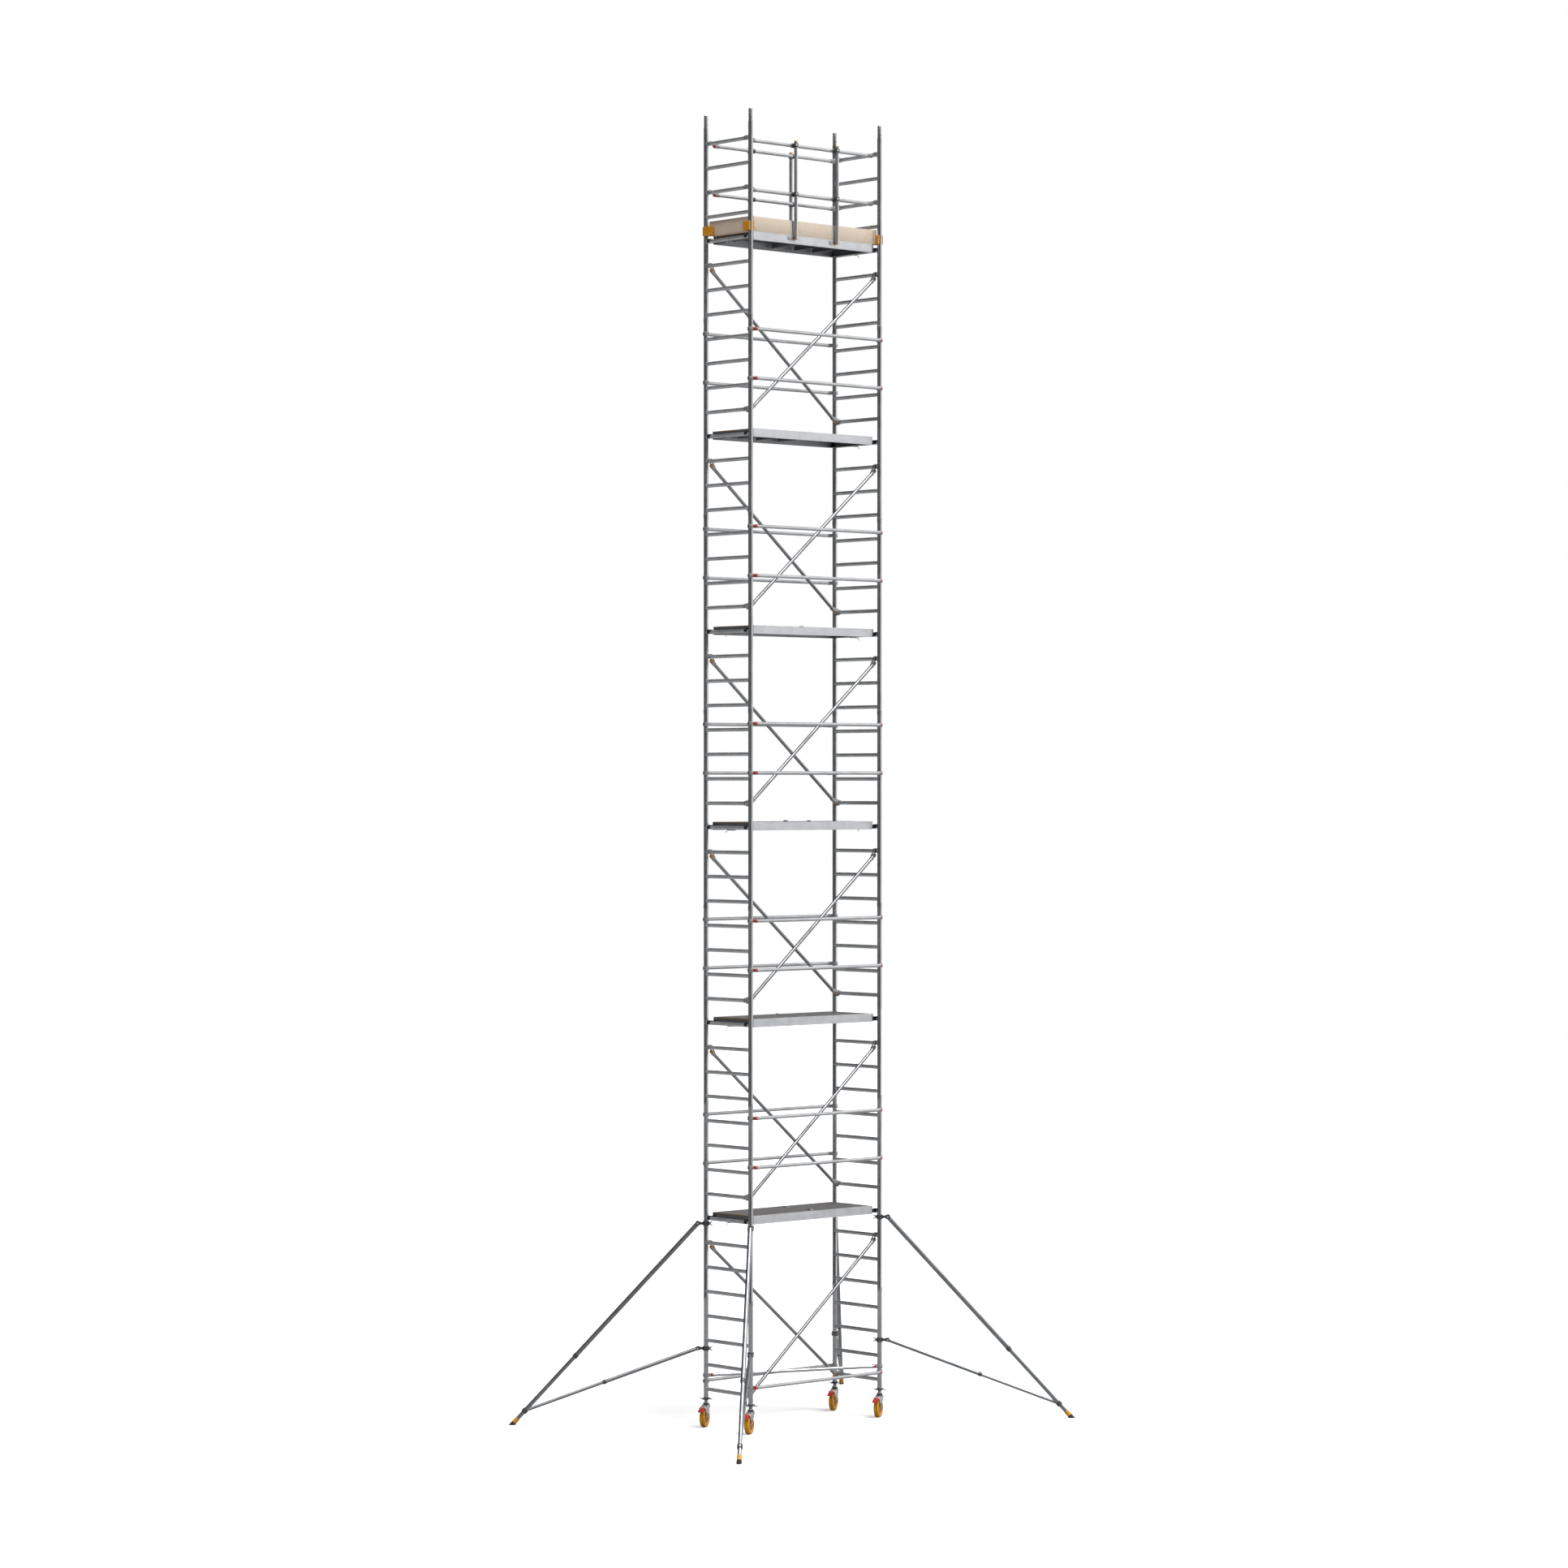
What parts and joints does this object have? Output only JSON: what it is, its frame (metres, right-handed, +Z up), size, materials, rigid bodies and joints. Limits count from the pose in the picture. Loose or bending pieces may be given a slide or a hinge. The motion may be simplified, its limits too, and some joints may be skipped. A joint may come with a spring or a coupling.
{
  "type": "mobile tower scaffold",
  "caption": "Tall narrow access tower of stacked ladder frames on castors, with trapdoor platforms, braces, guard rails, toe boards and corner stabilisers.",
  "frame": {"origin": "on the floor, in the middle of the tower's footprint", "axes": "+Z up along the posts, +X along the platforms from one ladder stack to the other, +Y across the platforms"},
  "size_m": [4.6886, 3.5736, 13.43],
  "materials": {
    "frame_aluminium": "extruded, ribbed rungs, light handling marks",
    "platform_aluminium": "mill finish with fine scratches",
    "brace_aluminium": "bright drawn tube",
    "cast_metal": "dark die-cast hardware",
    "zinc_steel": "zinc plated",
    "plywood_grey": "film-faced anti-slip plywood",
    "birch": "clear birch plywood",
    "red_plastic": "moulded",
    "orange_plastic": "moulded",
    "red_paint": "powder coat",
    "amber_polyurethane": "cast polyurethane tread",
    "foot_rubber": "moulded"
  },
  "bodies": {
    "tower": {"base_frames": "frame_aluminium", "upper_frames_1": "frame_aluminium", "upper_frames_2": "frame_aluminium", "upper_frames_3": "frame_aluminium", "upper_frames_4": "frame_aluminium", "upper_frames_5": "frame_aluminium", "upper_frames_6": "frame_aluminium", "lock_buttons": "zinc_steel", "platform_1": "platform_aluminium", "platform_2": "platform_aluminium", "platform_3": "platform_aluminium", "platform_4": "platform_aluminium", "platform_5": "platform_aluminium", "platform_6": "platform_aluminium", "deck_boards": "plywood_grey", "wind_hooks": "cast_metal", "diagonal_braces": "brace_aluminium", "guard_rails": "brace_aluminium", "red_caps": "red_plastic", "orange_caps": "orange_plastic", "guard_posts": "brace_aluminium", "toe_boards": "birch"},
    "trapdoor_1": {"hatch_1": "plywood_grey"},
    "trapdoor_2": {"hatch_2": "plywood_grey"},
    "trapdoor_3": {"hatch_3": "plywood_grey"},
    "trapdoor_4": {"hatch_4": "plywood_grey"},
    "trapdoor_5": {"hatch_5": "plywood_grey"},
    "trapdoor_6": {"hatch_6": "plywood_grey"},
    "jack_1": {"jack_leg_1": "zinc_steel"},
    "nut_1": {"jack_nut_1": "cast_metal"},
    "fork_1": {"castor_fork_1": "zinc_steel"},
    "wheel_1": {"castor_wheel_1": "amber_polyurethane"},
    "brake_1": {"castor_brake_1": "red_paint"},
    "arm_1": {"stabiliser_arm_1": "frame_aluminium"},
    "leg_1": {"stabiliser_leg_1": "brace_aluminium", "stabiliser_foot_1": "foot_rubber"},
    "jack_2": {"jack_leg_2": "zinc_steel"},
    "nut_2": {"jack_nut_2": "cast_metal"},
    "fork_2": {"castor_fork_2": "zinc_steel"},
    "wheel_2": {"castor_wheel_2": "amber_polyurethane"},
    "brake_2": {"castor_brake_2": "red_paint"},
    "arm_2": {"stabiliser_arm_2": "frame_aluminium"},
    "leg_2": {"stabiliser_leg_2": "brace_aluminium", "stabiliser_foot_2": "foot_rubber"},
    "jack_3": {"jack_leg_3": "zinc_steel"},
    "nut_3": {"jack_nut_3": "cast_metal"},
    "fork_3": {"castor_fork_3": "zinc_steel"},
    "wheel_3": {"castor_wheel_3": "amber_polyurethane"},
    "brake_3": {"castor_brake_3": "red_paint"},
    "arm_3": {"stabiliser_arm_3": "frame_aluminium"},
    "leg_3": {"stabiliser_leg_3": "brace_aluminium", "stabiliser_foot_3": "foot_rubber"},
    "jack_4": {"jack_leg_4": "zinc_steel"},
    "nut_4": {"jack_nut_4": "cast_metal"},
    "fork_4": {"castor_fork_4": "zinc_steel"},
    "wheel_4": {"castor_wheel_4": "amber_polyurethane"},
    "brake_4": {"castor_brake_4": "red_paint"},
    "arm_4": {"stabiliser_arm_4": "frame_aluminium"},
    "leg_4": {"stabiliser_leg_4": "brace_aluminium", "stabiliser_foot_4": "foot_rubber"}
  },
  "joints": [
    {"name": "trapdoor_hinge_1", "type": "hinge", "parent": "tower", "child": "trapdoor_1", "pos_m": [0.056, 0, 2.202], "axis": [0, -1, 0], "range_deg": [0, 100]},
    {"name": "trapdoor_hinge_2", "type": "hinge", "parent": "tower", "child": "trapdoor_2", "pos_m": [-0.056, 0, 4.202], "axis": [0, 1, 0], "range_deg": [0, 100]},
    {"name": "trapdoor_hinge_3", "type": "hinge", "parent": "tower", "child": "trapdoor_3", "pos_m": [0.056, 0, 6.202], "axis": [0, -1, 0], "range_deg": [0, 100]},
    {"name": "trapdoor_hinge_4", "type": "hinge", "parent": "tower", "child": "trapdoor_4", "pos_m": [-0.056, 0, 8.202], "axis": [0, 1, 0], "range_deg": [0, 100]},
    {"name": "trapdoor_hinge_5", "type": "hinge", "parent": "tower", "child": "trapdoor_5", "pos_m": [0.056, 0, 10.202], "axis": [0, -1, 0], "range_deg": [0, 100]},
    {"name": "trapdoor_hinge_6", "type": "hinge", "parent": "tower", "child": "trapdoor_6", "pos_m": [-0.056, 0, 12.202], "axis": [0, 1, 0], "range_deg": [0, 100]},
    {"name": "jack_nut_turn_1", "type": "hinge", "parent": "tower", "child": "nut_1", "pos_m": [-0.9, -0.3425, 0.2875], "axis": [0, 0, -1], "range_deg": [0, 9000.5]},
    {"name": "jack_slide_1", "type": "slide", "parent": "tower", "child": "jack_1", "axis": [0, 0, -1], "range_m": [0, 0.2]},
    {"name": "castor_swivel_1", "type": "hinge", "parent": "jack_1", "child": "fork_1", "pos_m": [-0.9, -0.3425, 0.22], "axis": [0, 0, 1], "continuous": true},
    {"name": "wheel_spin_1", "type": "hinge", "parent": "fork_1", "child": "wheel_1", "pos_m": [-0.93897, -0.365, 0.1], "axis": [-0.5, 0.866, 0], "continuous": true},
    {"name": "brake_pedal_1", "type": "hinge", "parent": "fork_1", "child": "brake_1", "pos_m": [-0.99267, -0.396, 0.196], "axis": [0.5, -0.866, 0], "range_deg": [0, 9], "stiffness_Nm_per_rad": 4, "springref_deg": -5.73},
    {"name": "stabiliser_swing_1", "type": "hinge", "parent": "tower", "child": "arm_1", "pos_m": [-0.9, -0.3425, 2.08], "axis": [0, 0, 1], "range_deg": [-30, 30]},
    {"name": "stabiliser_slide_1", "type": "slide", "parent": "arm_1", "child": "leg_1", "axis": [0.4789, 0.4789, 0.7357], "range_m": [-0.3, 0.07]},
    {"name": "jack_nut_turn_2", "type": "hinge", "parent": "tower", "child": "nut_2", "pos_m": [0.9, -0.3425, 0.2875], "axis": [0, 0, -1], "range_deg": [0, 9000.5]},
    {"name": "jack_slide_2", "type": "slide", "parent": "tower", "child": "jack_2", "axis": [0, 0, -1], "range_m": [0, 0.2]},
    {"name": "castor_swivel_2", "type": "hinge", "parent": "jack_2", "child": "fork_2", "pos_m": [0.9, -0.3425, 0.22], "axis": [0, 0, 1], "continuous": true},
    {"name": "wheel_spin_2", "type": "hinge", "parent": "fork_2", "child": "wheel_2", "pos_m": [0.86103, -0.365, 0.1], "axis": [-0.5, 0.866, 0], "continuous": true},
    {"name": "brake_pedal_2", "type": "hinge", "parent": "fork_2", "child": "brake_2", "pos_m": [0.80734, -0.396, 0.196], "axis": [0.5, -0.866, 0], "range_deg": [0, 9], "stiffness_Nm_per_rad": 4, "springref_deg": -5.73},
    {"name": "stabiliser_swing_2", "type": "hinge", "parent": "tower", "child": "arm_2", "pos_m": [0.9, -0.3425, 2.08], "axis": [0, 0, 1], "range_deg": [-30, 30]},
    {"name": "stabiliser_slide_2", "type": "slide", "parent": "arm_2", "child": "leg_2", "axis": [-0.4789, 0.4789, 0.7357], "range_m": [-0.3, 0.07]},
    {"name": "jack_nut_turn_3", "type": "hinge", "parent": "tower", "child": "nut_3", "pos_m": [0.9, 0.3425, 0.2875], "axis": [0, 0, -1], "range_deg": [0, 9000.5]},
    {"name": "jack_slide_3", "type": "slide", "parent": "tower", "child": "jack_3", "axis": [0, 0, -1], "range_m": [0, 0.2]},
    {"name": "castor_swivel_3", "type": "hinge", "parent": "jack_3", "child": "fork_3", "pos_m": [0.9, 0.3425, 0.22], "axis": [0, 0, 1], "continuous": true},
    {"name": "wheel_spin_3", "type": "hinge", "parent": "fork_3", "child": "wheel_3", "pos_m": [0.86103, 0.32, 0.1], "axis": [-0.5, 0.866, 0], "continuous": true},
    {"name": "brake_pedal_3", "type": "hinge", "parent": "fork_3", "child": "brake_3", "pos_m": [0.80734, 0.289, 0.196], "axis": [0.5, -0.866, 0], "range_deg": [0, 9], "stiffness_Nm_per_rad": 4, "springref_deg": -5.73},
    {"name": "stabiliser_swing_3", "type": "hinge", "parent": "tower", "child": "arm_3", "pos_m": [0.9, 0.3425, 2.08], "axis": [0, 0, 1], "range_deg": [-30, 30]},
    {"name": "stabiliser_slide_3", "type": "slide", "parent": "arm_3", "child": "leg_3", "axis": [-0.4789, -0.4789, 0.7357], "range_m": [-0.3, 0.07]},
    {"name": "jack_nut_turn_4", "type": "hinge", "parent": "tower", "child": "nut_4", "pos_m": [-0.9, 0.3425, 0.2875], "axis": [0, 0, -1], "range_deg": [0, 9000.5]},
    {"name": "jack_slide_4", "type": "slide", "parent": "tower", "child": "jack_4", "axis": [0, 0, -1], "range_m": [0, 0.2]},
    {"name": "castor_swivel_4", "type": "hinge", "parent": "jack_4", "child": "fork_4", "pos_m": [-0.9, 0.3425, 0.22], "axis": [0, 0, 1], "continuous": true},
    {"name": "wheel_spin_4", "type": "hinge", "parent": "fork_4", "child": "wheel_4", "pos_m": [-0.93897, 0.32, 0.1], "axis": [-0.5, 0.866, 0], "continuous": true},
    {"name": "brake_pedal_4", "type": "hinge", "parent": "fork_4", "child": "brake_4", "pos_m": [-0.99267, 0.289, 0.196], "axis": [0.5, -0.866, 0], "range_deg": [0, 9], "stiffness_Nm_per_rad": 4, "springref_deg": -5.73},
    {"name": "stabiliser_swing_4", "type": "hinge", "parent": "tower", "child": "arm_4", "pos_m": [-0.9, 0.3425, 2.08], "axis": [0, 0, 1], "range_deg": [-30, 30]},
    {"name": "stabiliser_slide_4", "type": "slide", "parent": "arm_4", "child": "leg_4", "axis": [0.4789, -0.4789, 0.7357], "range_m": [-0.3, 0.07]}
  ],
  "couplings": [
    {"joint": "jack_nut_turn_1", "follows": "jack_slide_1", "rad_per_m": 785.4},
    {"joint": "jack_nut_turn_2", "follows": "jack_slide_2", "rad_per_m": 785.4},
    {"joint": "jack_nut_turn_3", "follows": "jack_slide_3", "rad_per_m": 785.4},
    {"joint": "jack_nut_turn_4", "follows": "jack_slide_4", "rad_per_m": 785.4}
  ]
}
